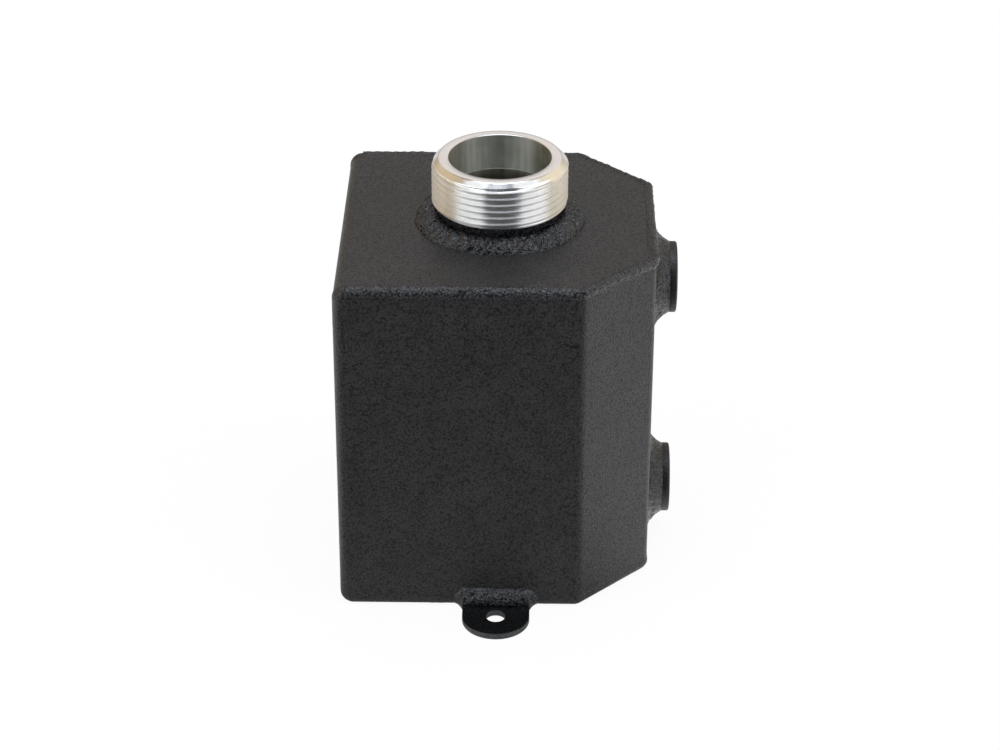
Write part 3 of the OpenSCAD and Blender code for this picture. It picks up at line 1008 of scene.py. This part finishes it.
for plate in (tab("front_tab_plate", "front_tab", 1), tab("rear_tab_plate", "rear_tab", -1)):
    paint(plate, tab_coat, painted_light_edge_coat)
    for face in plate.data.polygons:
        if abs(face.normal.z) < STEEP:
            face.material_index = 1

for node in ("top_base_channel", "side_wrap"):
    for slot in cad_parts[node].material_slots:
        slot.material = sheet_coat


# Directions round the tank

def add_around(tree, vector, x, y):
    """Splits a direction, and tells how far round it lies from 0 to 1.

    The front is at 0.5 and the right comes after it.
    """
    link = tree.links.new
    split = node_at(tree, "ShaderNodeSeparateXYZ", x, y)
    link(vector, split.inputs["Vector"])
    flip = node_at(tree, "ShaderNodeMath", x + 200, y - 100, operation="MULTIPLY")
    flip.inputs[1].default_value = -1.0
    link(split.outputs["Y"], flip.inputs[0])
    around = node_at(tree, "ShaderNodeMath", x + 400, y, operation="ARCTAN2")
    link(split.outputs["X"], around.inputs[0])
    link(flip.outputs["Value"], around.inputs[1])
    share = map_range(tree, x + 600, y, (-math.pi, math.pi), (0.0, 1.0))
    link(around.outputs["Value"], share.inputs["Value"])
    return split, share.outputs["Result"]


def bands(tree, share, x, y, stops):
    """Colours at directions round the tank, in degrees to the right of the front."""
    band = ramp(tree, x, y, [((degrees + 180) / 360, colour) for degrees, colour in stops])
    tree.links.new(share, band.inputs["Fac"])
    return band.outputs["Color"]


# Floor

FLOOR_HALF = 6.0
FLOOR_SHADOW = 0.06

# Its light in reflections: beside and behind the tank, and in front of it near and far
FLOOR_SIDE = (1.16, 1.16, 1.16)
FLOOR_REAR = (0.5, 0.5, 0.5)
FLOOR_NEAR = (0.45, 0.45, 0.455)
FLOOR_FAR = (0.17, 0.17, 0.18)

# Near goes over to far between these distances from the tank's axis, in metres
FLOOR_NEAR_TO_FAR = (0.08, 0.3)


def floor_bands(front):
    return [
        (-180, FLOOR_REAR), (-110, FLOOR_SIDE), (-75, FLOOR_SIDE), (-40, front),
        (38, front), (66, FLOOR_SIDE), (110, FLOOR_SIDE), (180, FLOOR_REAR),
    ]


def floor_material(name):
    """White to the camera with a faint shadow, dimmer at the front and back in reflections."""
    material, tree, link = new_material(name)
    tree.nodes.remove(tree.nodes["Principled BSDF"])
    output = tree.nodes["Material Output"]
    shade = node_at(tree, "ShaderNodeBsdfDiffuse", -200, 300, Color=(1.0, 1.0, 1.0, 1.0))
    white = node_at(tree, "ShaderNodeEmission", -200, 150, Strength=1.0)
    shown = node_at(tree, "ShaderNodeEmission", -200, 0, Strength=1.0)
    coords = node_at(tree, "ShaderNodeTexCoord", -1600, 0)
    _, share = add_around(tree, coords.outputs["Object"], -1400, 0)
    near = bands(tree, share, -700, 100, floor_bands(FLOOR_NEAR))
    far = bands(tree, share, -700, -100, floor_bands(FLOOR_FAR))

    reach = node_at(tree, "ShaderNodeVectorMath", -1000, -300, operation="LENGTH")
    link(coords.outputs["Object"], reach.inputs[0])
    far_share = map_range(tree, -800, -300, FLOOR_NEAR_TO_FAR, (0.0, 1.0))
    link(reach.outputs["Value"], far_share.inputs["Value"])
    floor_light = node_at(tree, "ShaderNodeMix", -400, 0, data_type="RGBA")
    link(far_share.outputs["Result"], floor_light.inputs["Factor"])
    link(near, floor_light.inputs["A"])
    link(far, floor_light.inputs["B"])
    link(floor_light.outputs["Result"], shown.inputs["Color"])

    path = node_at(tree, "ShaderNodeLightPath", -800, 500)
    keep = node_at(tree, "ShaderNodeMath", -600, 500, operation="MULTIPLY")
    keep.inputs[1].default_value = 1 - FLOOR_SHADOW
    link(path.outputs["Is Camera Ray"], keep.inputs[0])
    camera_mix = node_at(tree, "ShaderNodeMixShader", 0, 300)
    link(keep.outputs["Value"], camera_mix.inputs["Fac"])
    link(shade.outputs["BSDF"], camera_mix.inputs[1])
    link(white.outputs["Emission"], camera_mix.inputs[2])
    mirrored = node_at(tree, "ShaderNodeMath", -600, 650, operation="MAXIMUM")
    link(path.outputs["Is Glossy Ray"], mirrored.inputs[0])
    link(path.outputs["Is Transmission Ray"], mirrored.inputs[1])
    glossy_mix = node_at(tree, "ShaderNodeMixShader", 200, 200)
    link(mirrored.outputs["Value"], glossy_mix.inputs["Fac"])
    link(camera_mix.outputs["Shader"], glossy_mix.inputs[1])
    link(shown.outputs["Emission"], glossy_mix.inputs[2])
    link(glossy_mix.outputs["Shader"], output.inputs["Surface"])
    return material


def add_floor():
    mesh = bpy.data.meshes.new("studio_floor")
    h = FLOOR_HALF
    mesh.from_pydata([(-h, -h, 0), (h, -h, 0), (h, h, 0), (-h, h, 0)], [], [(0, 1, 2, 3)])
    floor = bpy.data.objects.new("studio_floor", mesh)
    bpy.context.scene.collection.objects.link(floor)
    paint(floor, floor_material("studio_white"))


# World

LEFT_WALL = (0.62, 0.49, 0.32)
RIGHT_WALL = (0.86, 0.76, 0.59)
PANEL = (1.72, 1.78, 1.84)
FRONT_GAP = (0.1, 0.1, 0.105)
LOW_REAR = (0.18, 0.17, 0.17)
HIGH_REAR = (0.78, 0.735, 0.73)
OVERHEAD = (3.0, 3.2, 3.6, 1)

# Between these heights of a direction, from 0 to 1, the rear's low light turns into the high
# one, everything round the tank gets dimmer, and the light overhead begins
REAR_RISE = (0.14, 0.4)
UPPER_DIM = (0.62, 0.78)
OVERHEAD_RISE = (0.9, 0.94)

# What the dimming leaves
UPPER_DIMMED = 0.5


def world_bands(rear):
    return [
        (-180, rear), (-125, LEFT_WALL), (-84, LEFT_WALL), (-76, PANEL), (-31, PANEL),
        (-25, FRONT_GAP), (32, FRONT_GAP), (38, PANEL), (84, PANEL), (92, RIGHT_WALL),
        (125, RIGHT_WALL), (180, rear),
    ]


def add_world():
    """White to the camera. The rest sees two panels, warm walls and a light overhead."""
    world = bpy.data.worlds.new("studio_world")
    bpy.context.scene.world = world
    world.use_nodes = True
    tree = world.node_tree
    link = tree.links.new
    output = tree.nodes["World Output"]
    backdrop = tree.nodes["Background"]
    backdrop.inputs["Color"].default_value = (1, 1, 1, 1)
    backdrop.inputs["Strength"].default_value = 1.0
    light = node_at(tree, "ShaderNodeBackground", -200, -200, Strength=1.0)
    path = node_at(tree, "ShaderNodeLightPath", -800, 300)
    coords = node_at(tree, "ShaderNodeTexCoord", -1600, -200)
    split, share = add_around(tree, coords.outputs["Generated"], -1400, -200)

    rise = map_range(tree, -800, 100, REAR_RISE, (0.0, 1.0))
    link(split.outputs["Z"], rise.inputs["Value"])
    around = node_at(tree, "ShaderNodeMix", -600, -200, data_type="RGBA")
    link(rise.outputs["Result"], around.inputs["Factor"])
    link(bands(tree, share, -800, -50, world_bands(LOW_REAR)), around.inputs["A"])
    link(bands(tree, share, -800, -350, world_bands(HIGH_REAR)), around.inputs["B"])

    dim = map_range(tree, -600, -700, UPPER_DIM, (1.0, UPPER_DIMMED))
    link(split.outputs["Z"], dim.inputs["Value"])
    dimmed = node_at(tree, "ShaderNodeVectorMath", -500, -300, operation="SCALE")
    link(around.outputs["Result"], dimmed.inputs[0])
    link(dim.outputs["Result"], dimmed.inputs["Scale"])
    high = map_range(tree, -600, -500, OVERHEAD_RISE, (0.0, 1.0))
    link(split.outputs["Z"], high.inputs["Value"])
    mix = node_at(tree, "ShaderNodeMix", -400, -300, data_type="RGBA")
    link(high.outputs["Result"], mix.inputs["Factor"])
    link(dimmed.outputs["Vector"], mix.inputs["A"])
    mix.inputs["B"].default_value = OVERHEAD
    link(mix.outputs["Result"], light.inputs["Color"])

    choose = node_at(tree, "ShaderNodeMixShader", 0, 0)
    link(path.outputs["Is Camera Ray"], choose.inputs["Fac"])
    link(light.outputs["Background"], choose.inputs[1])
    link(backdrop.outputs["Background"], choose.inputs[2])
    link(choose.outputs["Shader"], output.inputs["Surface"])


add_floor()
add_world()


# Camera, fitted to the outlines in the photograph

CAMERA_ELEVATION = math.radians(29.70)
CAMERA_AZIMUTH = math.radians(0.72)
CAMERA_ROLL = 0.003446
CAMERA_DISTANCE = 1073.3
CAMERA_TARGET = Vector((0.985, 0.0, 67.9))
CAMERA_LENS = 99.965
SENSOR_WIDTH = 36.0
CLIP_START = 0.01
CLIP_END = 100.0

back = Vector((math.sin(CAMERA_AZIMUTH) * math.cos(CAMERA_ELEVATION),
               -math.cos(CAMERA_AZIMUTH) * math.cos(CAMERA_ELEVATION),
               math.sin(CAMERA_ELEVATION)))
level = (-back).cross(Vector((0, 0, 1))).normalized()
upright = level.cross(-back).normalized()
right = level * math.cos(CAMERA_ROLL) + upright * math.sin(CAMERA_ROLL)
up = -level * math.sin(CAMERA_ROLL) + upright * math.cos(CAMERA_ROLL)
place = (CAMERA_TARGET + back * CAMERA_DISTANCE) * MM
lens = bpy.data.cameras.new("photo_camera")
lens.lens = CAMERA_LENS
lens.sensor_width = SENSOR_WIDTH
lens.clip_start = CLIP_START
lens.clip_end = CLIP_END
camera = bpy.data.objects.new("photo_camera", lens)
camera.matrix_world = Matrix((
    (right.x, up.x, back.x, place.x),
    (right.y, up.y, back.y, place.y),
    (right.z, up.z, back.z, place.z),
    (0, 0, 0, 1),
))
bpy.context.scene.collection.objects.link(camera)
bpy.context.scene.camera = camera
bpy.context.scene.view_settings.view_transform = "Standard"
